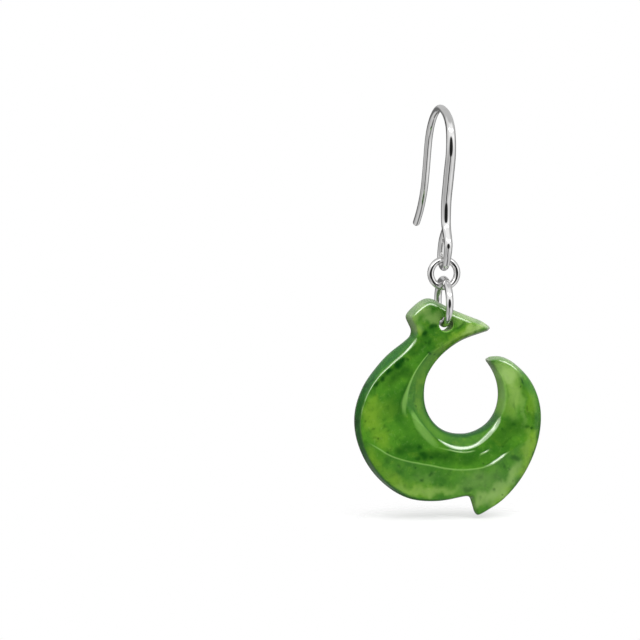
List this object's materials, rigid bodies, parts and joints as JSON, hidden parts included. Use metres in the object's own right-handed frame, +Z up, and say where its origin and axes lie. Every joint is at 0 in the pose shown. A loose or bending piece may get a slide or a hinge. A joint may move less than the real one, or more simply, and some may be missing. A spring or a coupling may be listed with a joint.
{
  "type": "hook earring",
  "caption": "Drop earring: a tapered shepherd ear wire, two linking rings and a carved, polished green stone fish-hook pendant with a drilled hole.",
  "frame": {"origin": "underside of the ear wire's arch, where the earring hangs in the ear", "axes": "+Z up, X across the pendant's face, +Y from the pendant's front to its back, where the ear wire's free leg is"},
  "size_m": [0.0222, 0.0162, 0.0475],
  "materials": {
    "silver_wire": "polished sterling silver wire",
    "silver_ring": "polished sterling silver wire, closed into a ring",
    "jade": "carved translucent green jade, mottled and highly polished"
  },
  "bodies": {
    "ear_wire": {"ear_wire": "silver_wire"},
    "jump_ring": {"jump_ring": "silver_ring"},
    "lower_ring": {"lower_ring": "silver_ring"},
    "pendant": {"pendant": "jade"}
  },
  "joints": [
    {"name": "jump_ring_swing", "type": "hinge", "parent": "ear_wire", "child": "jump_ring", "pos_m": [0, -0.0019, -0.0178], "axis": [0, 1, 0], "range_deg": [-45, 45]},
    {"name": "lower_ring_swing", "type": "hinge", "parent": "jump_ring", "child": "lower_ring", "pos_m": [0, -0.0019, -0.02009], "axis": [1, 0, 0], "range_deg": [-45, 45]},
    {"name": "pendant_swing", "type": "hinge", "parent": "lower_ring", "child": "pendant", "pos_m": [0, -0.0019, -0.02433], "axis": [0, 1, 0], "range_deg": [-40, 40]}
  ]
}
